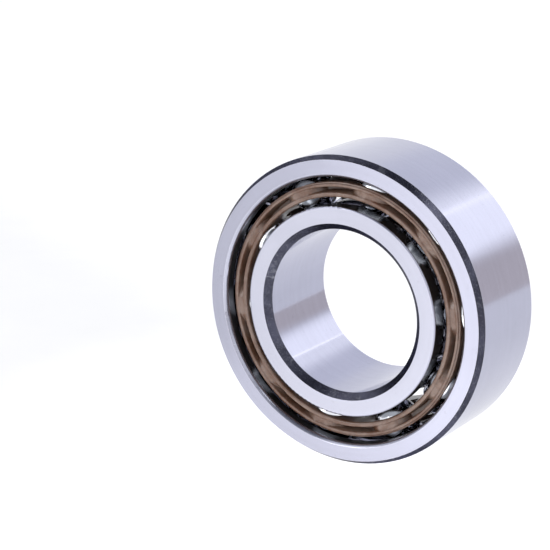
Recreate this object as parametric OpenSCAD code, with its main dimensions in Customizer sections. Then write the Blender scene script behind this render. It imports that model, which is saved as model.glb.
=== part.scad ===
// Double-row angular contact ball bearing, back-to-back, with two snap-in moulded cages.
// The bearing axis is +Y and the origin is the centre of the bore; the front face looks along -Y.

/* [Boundary dimensions] */
// Bore diameter
bore_d = 45; // [43:0.5:46]
// Outside diameter
outer_d = 85; // [84.5:0.5:90]
// Width of both rings
width = 30.2; // [30:0.1:34]
// Radial size of the corner chamfer on the outside diameter
od_chamfer_r = 1.15; // [0.6:0.05:1.5]
// Axial size of the corner chamfer on the outside diameter
od_chamfer_z = 1.7; // [0.6:0.05:2]
// Radial size of the corner chamfer in the bore
bore_chamfer_r = 1.8; // [0.6:0.05:2]
// Axial size of the corner chamfer in the bore
bore_chamfer_z = 1.85; // [0.6:0.05:2.2]

/* [Balls] */
// Ball diameter, 15/32 inch
ball_d = 11.906; // [11.5:0.001:11.95]
// Balls in each row
balls_per_row = 10; // [7:1:10]
// Diameter of the circle through the ball centres
pitch_d = 66; // [65.6:0.1:66.4]
// Distance between the centre planes of the two rows
row_spacing = 12.5; // [12.4:0.1:12.8]
// Contact angle of both rows
contact_angle = 30; // [20:1:35]
// Angle of the front row's first ball about the axis at rest
front_phase = -6.4; // [-18:0.1:18]
// Angle of the rear row's first ball about the axis at rest
rear_phase = 14.6; // [-18:0.1:18]

/* [Rings] */
// Raceway groove radius as a share of the ball diameter
groove_ratio = 0.53; // [0.52:0.005:0.54]
// Gap left between a ball and its raceway
race_gap = 0.1; // [0.05:0.01:0.1]
// Inside diameter of the outer ring beside its side faces
outer_land_d = 73.4; // [73:0.1:74.6]
// Radial size of the curved lead-in from the outer ring's side faces
lead_in_r = 0.85; // [0.4:0.05:1]
// Axial size of the curved lead-in from the outer ring's side faces
lead_in_z = 1.5; // [1:0.05:1.8]
// Inside diameter of the outer ring's middle rib
outer_rib_d = 72.8; // [72:0.1:73.4]
// Outside diameter of the inner ring at its side faces
inner_land_d = 57.7; // [57:0.1:58.4]
// Outside diameter of the inner ring's middle rib
inner_rib_d = 56; // [55.4:0.1:56.6]
// Edge radius where the inner ring's side faces meet its lands
land_edge_r = 0.5; // [0.2:0.05:0.8]

/* [Cages] */
// Outside diameter of a cage
cage_outer_d = 70.2; // [69.6:0.1:70.6]
// Inside diameter of a cage
cage_inner_d = 62; // [61.4:0.1:62.6]
// Depth of a cage's closed face below the rings' side faces
cage_depth = 1.8; // [1.7:0.05:1.9]
// Thickness of the two rims beside the moulded recesses
cage_rim = 1.3; // [1.1:0.05:1.5]
// Depth of the moulded recesses between the pockets
recess_depth = 4.4; // [3:0.1:4.6]
// Radius of the dome that closes each pocket
dome_r = 7; // [6.8:0.05:7.6]
// Clearance between a ball and its pocket
pocket_gap = 0.15; // [0.1:0.01:0.2]
// Reach of the snap claws past the ball centres
claw_reach = 2.4; // [1.8:0.1:2.8]
// Width of the notch between two neighbouring claws
notch_w = 3.4; // [2:0.1:4]

/* [Hidden] */
$fn = 96;
half_w = width / 2;
pitch_r = pitch_d / 2;
ball_r = ball_d / 2;
row_z = row_spacing / 2;
row_pitch = 360 / balls_per_row;
groove_r = groove_ratio * ball_d;
groove_shift = groove_r - ball_r - race_gap;
pocket_r = ball_r + pocket_gap;
cage_face_z = half_w - cage_depth;
claw_z = row_z - claw_reach;
recess_z = cage_face_z - recess_depth;
recess_floor = 1.2;
dome_drop = 0.35;
rim_round = 0.35;
bore_round = 0.6;
rim_step_r = 0.5;
rim_step_z = 0.35;
seam = 0.2;
past = 1;

function ball_names(row) = [for (i = [1 : balls_per_row]) str("ball_", row, "_", i < 10 ? "0" : "", i)];
FRONT_BALLS = ball_names("front");
REAR_BALLS = ball_names("rear");

// Turns a shape drawn about local Z into the part's frame: local Z becomes +Y and local Y becomes +Z.
module about_bearing_axis() {
    rotate([90, 0, 180]) children();
}

// Draws the children for the +Z half and again, mirrored, for the -Z half of a ring's section.
module both_sides() {
    children();
    mirror([0, 1]) children();
}

// Waste of a straight chamfer at a corner that points to +X +Y.
module chamfer_waste(along_x, along_y) {
    polygon([[-along_x, 0], [0, -along_y], [past, -along_y], [past, past], [-along_x, past]]);
}

// Waste of a curved edge at a corner that points to +X +Y. The curve leaves the side smoothly
// and is a quarter round when both sizes are the same.
module curve_waste(along_x, along_y) {
    r = (along_x ^ 2 + along_y ^ 2) / (2 * along_x);
    difference() {
        translate([-along_x, -along_y]) square([along_x + past, along_y + past]);
        translate([-r, -along_y]) circle(r);
    }
}

// Groove of one raceway in section. side is +1 for the outer ring and -1 for the inner ring:
// the outer ring takes the load towards the middle of the bearing, the inner ring towards its faces.
module raceway_waste(side) {
    translate([
        pitch_r - side * groove_shift * cos(contact_angle),
        row_z + side * groove_shift * sin(contact_angle)
    ])
        circle(groove_r);
}

module outer_ring_section() {
    difference() {
        union() {
            translate([outer_land_d / 2, -half_w]) square([(outer_d - outer_land_d) / 2, width]);
            translate([outer_rib_d / 2, -row_z / 2])
                square([(outer_land_d - outer_rib_d) / 2 + seam, row_z]);
        }
        both_sides() {
            translate([outer_d / 2, half_w]) chamfer_waste(od_chamfer_r, od_chamfer_z);
            translate([outer_land_d / 2, half_w]) mirror([1, 0]) curve_waste(lead_in_r, lead_in_z);
            raceway_waste(1);
        }
    }
}

module inner_ring_section() {
    difference() {
        translate([bore_d / 2, -half_w]) square([(inner_land_d - bore_d) / 2, width]);
        translate([inner_rib_d / 2, -row_z]) square([inner_land_d - inner_rib_d, row_spacing]);
        both_sides() {
            translate([bore_d / 2, half_w])
                mirror([1, 0]) chamfer_waste(bore_chamfer_r, bore_chamfer_z);
            translate([inner_land_d / 2, half_w]) curve_waste(land_edge_r, land_edge_r);
            raceway_waste(-1);
        }
    }
}

module outer_ring() {
    color("lightsteelblue") about_bearing_axis() rotate_extrude() outer_ring_section();
}

module inner_ring() {
    color("lightsteelblue") about_bearing_axis() rotate_extrude() inner_ring_section();
}

// Section of the cage as a channel that opens to the bearing's face, between two rounded rims.
module cage_channel_section() {
    inner_r = cage_inner_d / 2;
    outer_r = cage_outer_d / 2;
    difference() {
        translate([inner_r, claw_z]) square([outer_r - inner_r, cage_face_z - claw_z]);
        translate([inner_r + cage_rim, recess_z])
            square([outer_r - inner_r - 2 * cage_rim, recess_depth + past]);
        translate([outer_r - rim_step_r, cage_face_z - rim_step_z]) square(past);
        translate([inner_r, cage_face_z]) mirror([1, 0]) curve_waste(bore_round, bore_round);
        translate([inner_r + cage_rim, cage_face_z]) curve_waste(rim_round, rim_round);
        translate([outer_r - cage_rim, cage_face_z]) mirror([1, 0]) curve_waste(rim_round, rim_round);
    }
}

// Strip of the channel that the pocket domes fill, from its floor to just below the rims.
module cage_fill_section() {
    translate([cage_inner_d / 2 + cage_rim - seam, recess_z - seam])
        square([
            (cage_outer_d - cage_inner_d) / 2 - 2 * cage_rim + 2 * seam,
            recess_depth - dome_drop + seam
        ]);
}

module at_each_pocket(phase) {
    for (i = [0 : balls_per_row - 1])
        rotate(phase + i * row_pitch) translate([pitch_r, 0, row_z]) children();
}

// Notch between two neighbouring claws, open towards the middle of the bearing.
module claw_notch() {
    top_z = recess_z - recess_floor;
    depth = (cage_outer_d - cage_inner_d) / 2 + 2 * past;
    translate([cage_inner_d / 2 - past, 0, 0]) {
        translate([0, -notch_w / 2, claw_z - past])
            cube([depth, notch_w, top_z - notch_w / 2 - claw_z + past]);
        translate([0, 0, top_z - notch_w / 2]) rotate([0, 90, 0]) cylinder(d = notch_w, h = depth);
    }
}

// One cage, drawn on the +Z side with its first pocket at the angle phase.
module cage(phase) {
    difference() {
        union() {
            rotate_extrude() cage_channel_section();
            intersection() {
                rotate_extrude() cage_fill_section();
                at_each_pocket(phase) sphere(dome_r);
            }
        }
        at_each_pocket(phase) sphere(pocket_r);
        for (i = [0 : balls_per_row - 1])
            rotate(phase + (i + 0.5) * row_pitch) claw_notch();
    }
}

module cage_front() {
    color("sienna") about_bearing_axis() mirror([0, 0, 1]) cage(front_phase);
}

module cage_rear() {
    color("sienna") about_bearing_axis() cage(rear_phase);
}

// Ball i of a row, where side is -1 for the front row and +1 for the rear row.
module row_ball(side, phase, i) {
    color("silver") about_bearing_axis()
        rotate(phase + i * row_pitch) translate([pitch_r, 0, side * row_z]) sphere(ball_r);
}

outer_ring();
inner_ring();
cage_front();
cage_rear();
for (i = [0 : balls_per_row - 1]) {
    row_ball(-1, front_phase, i);
    row_ball(1, rear_phase, i);
}
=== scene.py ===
import math

import bpy
from mathutils import Matrix, Vector


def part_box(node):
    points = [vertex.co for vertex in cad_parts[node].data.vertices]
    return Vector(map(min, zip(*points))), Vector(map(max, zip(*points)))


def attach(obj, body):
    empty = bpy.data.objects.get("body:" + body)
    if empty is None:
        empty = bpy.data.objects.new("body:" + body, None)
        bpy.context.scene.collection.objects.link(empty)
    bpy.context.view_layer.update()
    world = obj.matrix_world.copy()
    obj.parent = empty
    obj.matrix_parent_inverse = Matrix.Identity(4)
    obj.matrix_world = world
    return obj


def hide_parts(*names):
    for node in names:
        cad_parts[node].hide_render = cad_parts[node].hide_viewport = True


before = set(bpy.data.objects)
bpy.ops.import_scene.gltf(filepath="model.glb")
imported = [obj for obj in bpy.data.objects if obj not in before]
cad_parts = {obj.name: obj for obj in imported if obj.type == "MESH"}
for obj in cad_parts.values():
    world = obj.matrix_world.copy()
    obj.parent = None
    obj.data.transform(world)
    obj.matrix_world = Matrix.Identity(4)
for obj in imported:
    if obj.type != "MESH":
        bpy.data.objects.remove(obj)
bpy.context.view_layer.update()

MM = 0.001

# Where one surface of a ring ends and the next begins.
OUTER_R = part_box("outer_ring")[1].x
HALF_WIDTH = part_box("outer_ring")[1].y
INNER_R = 22.5 * MM
OUTER_LAND_R = 36.7 * MM
OUTER_RIB_R = 36.4 * MM
LEAD_IN = 1.5 * MM
INNER_LAND_R = 28.85 * MM
INNER_RIB_R = 28.0 * MM
LAND_EDGE = 0.5 * MM
SURFACE_TOLERANCE = 0.03 * MM
SQUARE_ON = 0.99
NEARLY_FLAT = 0.05

# Modifiers on the CAD meshes and the cages.
WELD_DISTANCE = 0.001 * MM
EDGE_BREAK = 0.18 * MM
EDGE_ANGLE = 18
CAGE_VOXEL = 0.16 * MM
CAGE_KEPT_FACES = 0.25

# Floor: where the sheet ends, in metres, and how its painted glow changes: a painted pool of light in
# front of the bearing and a painted fill against its shadow near it. A glow range is two distances in
# metres, then the value at each. FRONT_RIGHT and FRONT_LEFT are directions on the floor.
FLOOR_LEFT, FLOOR_RIGHT = -3.0, 0.27
FLOOR_FRONT, FLOOR_BACK = -3.0, 3.0
GLOW_BASE = 0.45
GLOW_ACROSS = (-0.06, 0.06, -0.10, 0.68)
GLOW_AHEAD = (-0.04, 0.02, 0.0, 1.0)
GLOW_SHADOW_FILL = (0.05, 0.14, 0.26, 0.0)
GLOW_BEHIND = 0.4
FRONT_RIGHT = (0.866, -0.5, 0.0)
FRONT_LEFT = (-0.5, -0.866, 0.0)

# Camera: it looks at the centre of the front face from the photographed side.
VIEW_AZIMUTH = 33.24
VIEW_ELEVATION = 15.88
VIEW_DISTANCE = 485.6 * MM
VIEW_RIGHT = 17.10 * MM
VIEW_DOWN = 10.11 * MM
SENSOR = 36.0
LENS = 119.5


class Graph:
    """Adds shader nodes to a tree and links them."""

    def __init__(self, tree):
        self.tree = tree
        tree.nodes.clear()

    def add(self, kind, inputs=None, **settings):
        node = self.tree.nodes.new("ShaderNode" + kind)
        for name, value in settings.items():
            setattr(node, name, value)
        for name, value in (inputs or {}).items():
            socket = node.inputs[name]
            if isinstance(value, bpy.types.NodeSocket):
                self.tree.links.new(value, socket)
            else:
                socket.default_value = value
        return node

    def math(self, operation, a, b=0.0, c=0.0):
        return self.add("Math", {0: a, 1: b, 2: c}, operation=operation).outputs[0]

    def vector(self, x, y, z):
        return self.add("CombineXYZ", {0: x, 1: y, 2: z}).outputs[0]

    def measure(self, operation, a, b):
        """A number taken from two vectors."""
        return self.add("VectorMath", {0: a, 1: b}, operation=operation).outputs["Value"]

    def noise(self, vector, scale, detail=3.0, roughness=0.5, distortion=0.0):
        inputs = {
            "Vector": vector,
            "Scale": scale,
            "Detail": detail,
            "Roughness": roughness,
            "Distortion": distortion,
        }
        return self.add("TexNoise", inputs).outputs["Fac"]

    def remap(self, value, from_min, from_max, to_min, to_max):
        inputs = {
            "Value": value,
            "From Min": from_min,
            "From Max": from_max,
            "To Min": to_min,
            "To Max": to_max,
        }
        return self.add("MapRange", inputs, interpolation_type="SMOOTHSTEP").outputs["Result"]

    def mix(self, factor, a, b):
        """Blends two colours."""
        return self.add("Mix", {0: factor, 6: a, 7: b}, data_type="RGBA").outputs[2]

    def bump(self, height, distance, strength=1.0):
        inputs = {"Height": height, "Distance": distance, "Strength": strength}
        return self.add("Bump", inputs).outputs["Normal"]


def new_material(name):
    material = bpy.data.materials.new(name)
    material.use_nodes = True
    return material, Graph(material.node_tree)


def close_material(graph, **inputs):
    named = {name.replace("_", " "): value for name, value in inputs.items()}
    shader = graph.add("BsdfPrincipled", named)
    graph.add("OutputMaterial", {"Surface": shader.outputs[0]})


def turned_coordinates(graph):
    """The position itself, then radius and height along the axis in millimetres, then the two
    direction cosines that turn with the angle about the axis."""
    place = graph.add("TexCoord").outputs["Object"]
    split = graph.add("SeparateXYZ", {0: place}).outputs
    flat = graph.vector(split[0], 0.0, split[2])
    radius = graph.add("VectorMath", {0: flat}, operation="LENGTH").outputs["Value"]
    across = graph.math("DIVIDE", split[0], radius)
    radius_mm = graph.math("DIVIDE", radius, MM)
    height_mm = graph.math("DIVIDE", split[1], MM)
    return place, radius_mm, height_mm, across, graph.math("DIVIDE", split[2], radius)


def ground_steel(name, color, roughness, line_scale, line_depth, dish=0.0):
    """Ground or honed bearing steel with fine lines that run round the axis.

    dish is the slope, in metres per metre of radius, by which grinding leaves a side face off flat.
    """
    material, g = new_material(name)
    place, radius, height, across, up = turned_coordinates(g)
    turn = g.math("MULTIPLY_ADD", across, 2.0, g.math("MULTIPLY", up, 3.0))
    along = g.vector(radius, height, g.math("MULTIPLY", turn, 0.35))
    fine = g.noise(along, line_scale, detail=3.0, roughness=0.6)
    broad = g.noise(along, line_scale * 0.15, detail=2.0)
    cloud = g.noise(place, 70.0, detail=4.0, roughness=0.6)
    shade = g.math("MULTIPLY_ADD", cloud, 0.6, g.math("MULTIPLY", broad, 0.4))
    dark = tuple(0.95 * c for c in color[:3]) + (1.0,)
    base = g.mix(g.remap(shade, 0.35, 0.65, 0.0, 1.0), dark, color)
    mark = g.remap(g.noise(place, 900.0, detail=2.0, roughness=0.7), 0.66, 0.72, 0.0, 0.5)
    base = g.mix(mark, base, tuple(0.8 * c for c in color[:3]) + (1.0,))
    blend = g.math("MULTIPLY_ADD", fine, 0.5, g.math("MULTIPLY", cloud, 0.5))
    rough = g.remap(blend, 0.3, 0.7, roughness * 0.88, roughness * 1.12)
    tangent = g.add("Tangent", direction_type="RADIAL", axis="Y").outputs[0]
    lines = g.math("MULTIPLY", fine, line_depth)
    relief = g.math("MULTIPLY_ADD", radius, dish * MM, lines)
    close_material(
        g,
        Base_Color=base,
        Metallic=1.0,
        Roughness=rough,
        Anisotropic=0.7,
        Anisotropic_Rotation=0.25,
        Tangent=tangent,
        Normal=g.bump(relief, 1.0),
    )
    return material


def oxide_steel(name, color, roughness, grain_depth):
    """Dark heat-treatment skin left on the corners that aren't ground, grainy and slightly oily."""
    material, g = new_material(name)
    place, radius, height, across, up = turned_coordinates(g)
    along = g.vector(radius, height, g.math("MULTIPLY_ADD", across, 2.0, up))
    turning = g.noise(along, 3.0, detail=3.0)
    grain = g.noise(place, 2600.0, detail=3.0, roughness=0.6)
    patch = g.noise(place, 130.0, detail=4.0, roughness=0.6)
    speck = g.remap(g.noise(place, 5200.0, detail=1.0), 0.66, 0.75, 0.0, 0.6)
    wear = g.noise(place, 210.0, detail=6.0, roughness=0.75, distortion=1.5)
    worn = g.remap(wear, 0.56, 0.66, 0.0, 0.55)
    dark = tuple(0.7 * c for c in color[:3]) + (1.0,)
    light = tuple(1.6 * c for c in color[:3]) + (1.0,)
    bare = (0.22, 0.225, 0.26, 1.0)
    bright = (0.55, 0.57, 0.62, 1.0)
    shade = g.math("MULTIPLY_ADD", patch, 0.6, g.math("MULTIPLY", grain, 0.4))
    base = g.mix(g.remap(shade, 0.36, 0.64, 0.0, 1.0), dark, light)
    base = g.mix(worn, base, bare)
    base = g.mix(speck, base, bright)
    rough = g.remap(grain, 0.3, 0.7, roughness * 0.85, roughness * 1.15)
    relief = g.math("MULTIPLY_ADD", turning, 0.4, grain)
    close_material(
        g,
        Base_Color=base,
        Metallic=0.9,
        Roughness=rough,
        Specular_Tint=(0.30, 0.30, 0.33, 1.0),
        Coat_Weight=0.08,
        Coat_Roughness=0.15,
        Normal=g.bump(relief, grain_depth),
    )
    return material


def ball_steel(name):
    """Lapped steel with faint tracks and a thin film of oil."""
    material, g = new_material(name)
    place = g.add("TexCoord").outputs["Object"]
    film = g.noise(place, 220.0, detail=3.0)
    mark = g.noise(place, 1400.0, detail=2.0, distortion=0.6)
    base = g.mix(film, (0.78, 0.79, 0.83, 1.0), (0.88, 0.89, 0.92, 1.0))
    rough = g.remap(mark, 0.4, 0.75, 0.02, 0.06)
    relief = g.bump(film, 0.004 * MM)
    close_material(g, Base_Color=base, Metallic=1.0, Roughness=rough, Normal=relief)
    return material


def cage_polyamide(name):
    """Brown glass-filled polyamide: flow marks, fine fibre speckle and a slightly worn, oily skin."""
    material, g = new_material(name)
    place = g.add("TexCoord").outputs["Object"]
    flow = g.noise(place, 130.0, detail=4.0, roughness=0.6, distortion=1.2)
    fibre = g.noise(place, 3000.0, detail=2.0)
    dark = (0.115, 0.052, 0.028, 1.0)
    light = (0.205, 0.138, 0.108, 1.0)
    fibre_tip = (0.30, 0.22, 0.18, 1.0)
    base = g.mix(g.remap(flow, 0.3, 0.7, 0.0, 1.0), dark, light)
    base = g.mix(g.remap(fibre, 0.55, 0.75, 0.0, 0.4), base, fibre_tip)
    rough = g.remap(flow, 0.3, 0.7, 0.30, 0.42)
    relief = g.math("MULTIPLY_ADD", fibre, 0.4, flow)
    close_material(
        g,
        Base_Color=base,
        Roughness=rough,
        Specular_IOR_Level=0.5,
        Subsurface_Weight=0.15,
        Subsurface_Radius=(1.0, 0.4, 0.2),
        Subsurface_Scale=0.6 * MM,
        Coat_Weight=0.42,
        Coat_Roughness=0.11,
        Normal=g.bump(relief, 0.03 * MM),
    )
    return material


def painted_glow_floor(name):
    """Near-white paper with a painted glow: emission that stands in for a pool of light and, close to
    the bearing, a painted fill so that shadows stay faint.

    In front of the bearing the glow rises from left to right, across a line that leads away to the
    front left. It rises again close to the bearing. The steel reflects both.
    """
    material, g = new_material(name)
    place = g.add("TexCoord").outputs["Object"]
    fibre = g.noise(place, 60.0, detail=3.0)
    base = g.mix(fibre, (0.58, 0.58, 0.585, 1.0), (0.62, 0.62, 0.625, 1.0))
    across = g.measure("DOT_PRODUCT", place, FRONT_RIGHT)
    along = g.measure("DOT_PRODUCT", place, FRONT_LEFT)
    away = g.measure("DISTANCE", place, (0.0, 0.0, -OUTER_R))
    ahead = g.remap(along, *GLOW_AHEAD)
    # Painted pool of light: the glow rises from left to right in front of the bearing.
    painted_light_pool = g.math("MULTIPLY", ahead, g.remap(across, *GLOW_ACROSS))
    fading = g.remap(ahead, 0.0, 1.0, GLOW_BEHIND, 1.0)
    # Painted shadow fill: more glow close to the bearing, weaker behind it, so that its shadow stays
    # faint.
    near = g.math("MULTIPLY", g.remap(away, *GLOW_SHADOW_FILL), fading)
    glow = g.math("ADD", g.math("ADD", painted_light_pool, near), GLOW_BASE)
    close_material(
        g,
        Base_Color=base,
        Roughness=0.85,
        Specular_IOR_Level=0.2,
        Emission_Color=(1.0, 1.0, 1.0, 1.0),
        Emission_Strength=glow,
    )
    return material


FACE, BARREL, CHAMFER, LAND, TRACK, EDGE, LEAD = range(7)


def ring_materials(ring, face_color, face_dish, land_color, land_roughness):
    """The finishes of one ring, in the order of the numbers above."""
    return (
        ground_steel(ring + "_ground_face", face_color, 0.24, 5.0, 0.0003 * MM, face_dish),
        ground_steel(ring + "_ground_barrel", (0.445, 0.45, 0.56, 1.0), 0.12, 6.0, 0.00002 * MM),
        oxide_steel(ring + "_oxide_corner", (0.046, 0.047, 0.069, 1.0), 0.22, 0.03 * MM),
        ground_steel(ring + "_turned_land", land_color, land_roughness, 4.0, 0.0012 * MM),
        ground_steel(ring + "_honed_track", (0.50, 0.50, 0.57, 1.0), 0.10, 9.0, 0.0003 * MM),
        # Broken edges: a brighter copy of the ground finish, painted highlight lines on top of the
        # real glints that the bevel catches.
        ground_steel(ring + "_edge_painted_highlight", (0.72, 0.72, 0.80, 1.0), 0.22, 8.0, 0.0003 * MM),
        # The lead-in is a darker copy of the ground finish: painted shade for the dark inside of the
        # bearing that it reflects.
        ground_steel(ring + "_turned_lead_in", (0.37, 0.375, 0.45, 1.0), 0.24, 4.0, 0.0010 * MM),
    )


def outer_zone(radius, height, normal_out, normal_along):
    """Which surface of the outer ring a face belongs to."""
    if height > HALF_WIDTH - SURFACE_TOLERANCE and abs(normal_along) > SQUARE_ON:
        return FACE
    if radius > OUTER_R - SURFACE_TOLERANCE and normal_out > SQUARE_ON:
        return BARREL
    if normal_out > 0.0:
        return CHAMFER
    if height > HALF_WIDTH - LEAD_IN:
        return LEAD
    on_land = abs(radius - OUTER_LAND_R) < SURFACE_TOLERANCE and abs(normal_along) < NEARLY_FLAT
    on_rib = abs(radius - OUTER_RIB_R) < SURFACE_TOLERANCE and abs(normal_along) < NEARLY_FLAT
    return LAND if on_land or on_rib else TRACK


def inner_zone(radius, height, normal_out, normal_along):
    """Which surface of the inner ring a face belongs to."""
    if height > HALF_WIDTH - SURFACE_TOLERANCE and abs(normal_along) > SQUARE_ON:
        return FACE
    if radius < INNER_R + SURFACE_TOLERANCE and normal_out < -SQUARE_ON:
        return BARREL
    if normal_out < 0.0:
        return CHAMFER
    if height > HALF_WIDTH - LAND_EDGE:
        return LEAD
    on_land = abs(radius - INNER_LAND_R) < SURFACE_TOLERANCE and abs(normal_along) < NEARLY_FLAT
    on_rib = abs(radius - INNER_RIB_R) < SURFACE_TOLERANCE and abs(normal_along) < NEARLY_FLAT
    return LAND if on_land or on_rib else TRACK


def finish_ring(node, zone, materials):
    """Gives each surface of a CAD ring its own finish, and breaks its sharp edges."""
    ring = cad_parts[node]
    ring.data.materials.clear()
    for material in materials:
        ring.data.materials.append(material)
    for face in ring.data.polygons:
        centre = face.center
        radius = math.hypot(centre.x, centre.z)
        outward = (face.normal.x * centre.x + face.normal.z * centre.z) / radius
        face.material_index = zone(radius, abs(centre.y), outward, face.normal.y)
    weld = ring.modifiers.new("join_edges", "WELD")
    weld.merge_threshold = WELD_DISTANCE
    edge_break = ring.modifiers.new("edge_break", "BEVEL")
    edge_break.width = EDGE_BREAK
    edge_break.segments = 2
    edge_break.limit_method = "ANGLE"
    edge_break.angle_limit = math.radians(EDGE_ANGLE)
    edge_break.material = EDGE
    ring.modifiers.new("even_normals", "WEIGHTED_NORMAL").keep_sharp = True


def moulded_cage(node, material):
    """A cage with the soft edges of a moulding, shaped from its CAD solid."""
    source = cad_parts[node]
    cage = bpy.data.objects.new(node + "_moulding", source.data.copy())
    bpy.context.scene.collection.objects.link(cage)
    weld = cage.modifiers.new("join_edges", "WELD")
    weld.merge_threshold = WELD_DISTANCE
    remesh = cage.modifiers.new("even_mesh", "REMESH")
    remesh.mode = "VOXEL"
    remesh.voxel_size = CAGE_VOXEL
    soften = cage.modifiers.new("soften", "SMOOTH")
    soften.factor = 0.5
    soften.iterations = 3
    thin = cage.modifiers.new("thin_out", "DECIMATE")
    thin.ratio = CAGE_KEPT_FACES
    graph = bpy.context.evaluated_depsgraph_get()
    mesh = bpy.data.meshes.new_from_object(cage.evaluated_get(graph))
    cage.modifiers.clear()
    cage.data = mesh
    mesh.materials.clear()
    mesh.materials.append(material)
    mesh.shade_smooth()
    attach(cage, node)
    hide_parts(node)


def finish_balls(material):
    for name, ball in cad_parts.items():
        if name.startswith("ball_"):
            ball.data.materials.clear()
            ball.data.materials.append(material)


def build_floor():
    """A paper sheet under the bearing. Its right edge is near, so the steel shows the dark room
    past it."""
    level = -OUTER_R
    corners = [
        (FLOOR_LEFT, FLOOR_FRONT, level),
        (FLOOR_RIGHT, FLOOR_FRONT, level),
        (FLOOR_RIGHT, FLOOR_BACK, level),
        (FLOOR_LEFT, FLOOR_BACK, level),
    ]
    mesh = bpy.data.meshes.new("floor")
    mesh.from_pydata(corners, [], [(0, 1, 2, 3)])
    floor = bpy.data.objects.new("floor", mesh)
    mesh.materials.append(painted_glow_floor("painted_glow_floor"))
    bpy.context.scene.collection.objects.link(floor)


def direction(azimuth, elevation):
    """Unit vector; azimuth turns from +Y towards +X."""
    a = math.radians(azimuth)
    e = math.radians(elevation)
    return Vector((math.sin(a) * math.cos(e), math.cos(a) * math.cos(e), math.sin(e)))


# The studio as the metal shows it: azimuth and elevation of a patch, the angles from its middle
# where it is full and where it has faded out, and its colour. They are tuned to give the steel the
# light and dark bands that it has in the photograph.
STUDIO = (
    (165, 76, 16, 44, (0.24, 0.25, 0.29)),
    (22, 24, 7, 18, (1.72, 1.74, 1.78)),
    (4, 47, 21.3, 21.9, (2.60, 2.60, 2.60)),
    (4, 47, 20.6, 21.2, (1.50, 1.52, 1.56)),
    (-8, 31, 6, 18, (0.96, 0.98, 1.06)),
    (124, 20, 6, 20, (1.30, 1.30, 1.33)),
    (104, 60, 3, 11, (3.00, 3.00, 3.00)),
    (-115, 48, 8, 22, (1.30, 1.30, 1.33)),
)
TENT_WHITE = (1.05, 1.06, 1.10, 1.0)
DARK_ROOM = (0.81, 0.76, 0.755, 1.0)


def build_world():
    """A white tent with a dark ceiling, a dark doorway and bright patches, seen only in reflections
    and as light. The camera itself sees plain white."""
    world = bpy.data.worlds.new("studio_tent")
    bpy.context.scene.world = world
    world.use_nodes = True
    g = Graph(world.node_tree)
    look = g.add("TexCoord").outputs["Generated"]

    def lobe(azimuth, elevation, inner, outer):
        near = g.measure("DOT_PRODUCT", look, direction(azimuth, elevation))
        start, end = math.cos(math.radians(outer)), math.cos(math.radians(inner))
        return g.remap(near, start, end, 0.0, 1.0)

    tent = TENT_WHITE
    for azimuth, elevation, inner, outer, color in STUDIO:
        tent = g.mix(lobe(azimuth, elevation, inner, outer), tent, color + (1.0,))
    height = g.add("SeparateXYZ", {0: look}).outputs[2]
    doorway = g.math("MULTIPLY", g.remap(height, 0.13, 0.27, 1.0, 0.0), lobe(40, 0, 16, 32))
    below = g.remap(height, -0.03, 0.0, 1.0, 0.0)
    tent = g.mix(g.math("MAXIMUM", below, doorway), tent, DARK_ROOM)
    seen = g.add("Background", {"Color": (1.0, 1.0, 1.0, 1.0), "Strength": 1.0}).outputs[0]
    lit = g.add("Background", {"Color": tent, "Strength": 1.0}).outputs[0]
    camera_ray = g.add("LightPath").outputs["Is Camera Ray"]
    mixed = g.add("MixShader", {0: camera_ray, 1: lit, 2: seen}).outputs[0]
    g.add("OutputWorld", {"Surface": mixed})


def add_softbox(name, place, aim, width, height, power):
    """Rectangular area light that faces a point; the camera doesn't see it."""
    data = bpy.data.lights.new(name, "AREA")
    data.shape = "RECTANGLE"
    data.size = width
    data.size_y = height
    data.energy = power
    light = bpy.data.objects.new(name, data)
    light.location = place
    light.rotation_mode = "QUATERNION"
    light.rotation_quaternion = (Vector(place) - Vector(aim)).to_track_quat("Z", "Y")
    light.visible_camera = False
    bpy.context.scene.collection.objects.link(light)


def build_camera():
    azimuth = math.radians(VIEW_AZIMUTH)
    elevation = math.radians(VIEW_ELEVATION)
    back = Vector((
        math.sin(azimuth) * math.cos(elevation),
        -math.cos(azimuth) * math.cos(elevation),
        math.sin(elevation),
    ))
    right = Vector((math.cos(azimuth), math.sin(azimuth), 0.0))
    up = back.cross(right)
    target = Vector((0.0, -HALF_WIDTH, 0.0))
    place = target - VIEW_RIGHT * right + VIEW_DOWN * up + VIEW_DISTANCE * back
    data = bpy.data.cameras.new("camera")
    data.sensor_width = SENSOR
    data.lens = LENS
    data.clip_start = 10 * MM
    data.clip_end = 20.0
    camera = bpy.data.objects.new("camera", data)
    camera.matrix_world = Matrix.Translation(place) @ Matrix((right, up, back)).transposed().to_4x4()
    bpy.context.scene.collection.objects.link(camera)
    bpy.context.scene.camera = camera


# The rings are ground alike: the inner face is a lighter copy of the outer face, painted light, and
# the outer land a darker, rougher copy of the inner land, painted shade in the gap between the outer
# ring and the cage.
outer_finishes = ring_materials(
    "outer",
    face_color=(0.455, 0.458, 0.55, 1.0),
    face_dish=-0.04,
    land_color=(0.13, 0.135, 0.15, 1.0),
    land_roughness=0.32,
)
inner_finishes = ring_materials(
    "inner",
    face_color=(0.50, 0.503, 0.585, 1.0),
    face_dish=0.08,
    land_color=(0.22, 0.23, 0.25, 1.0),
    land_roughness=0.20,
)
finish_ring("outer_ring", outer_zone, outer_finishes)
finish_ring("inner_ring", inner_zone, inner_finishes)
finish_balls(ball_steel("lapped_ball_steel"))
polyamide = cage_polyamide("brown_polyamide")
moulded_cage("cage_front", polyamide)
moulded_cage("cage_rear", polyamide)
build_floor()
build_world()
add_softbox(
    "left_softbox",
    place=(-0.43, -0.55, 0.36),
    aim=(0.0, 0.0, 0.0),
    width=0.34,
    height=0.34,
    power=0.95,
)
build_camera()
bpy.context.scene.view_settings.view_transform = "Standard"
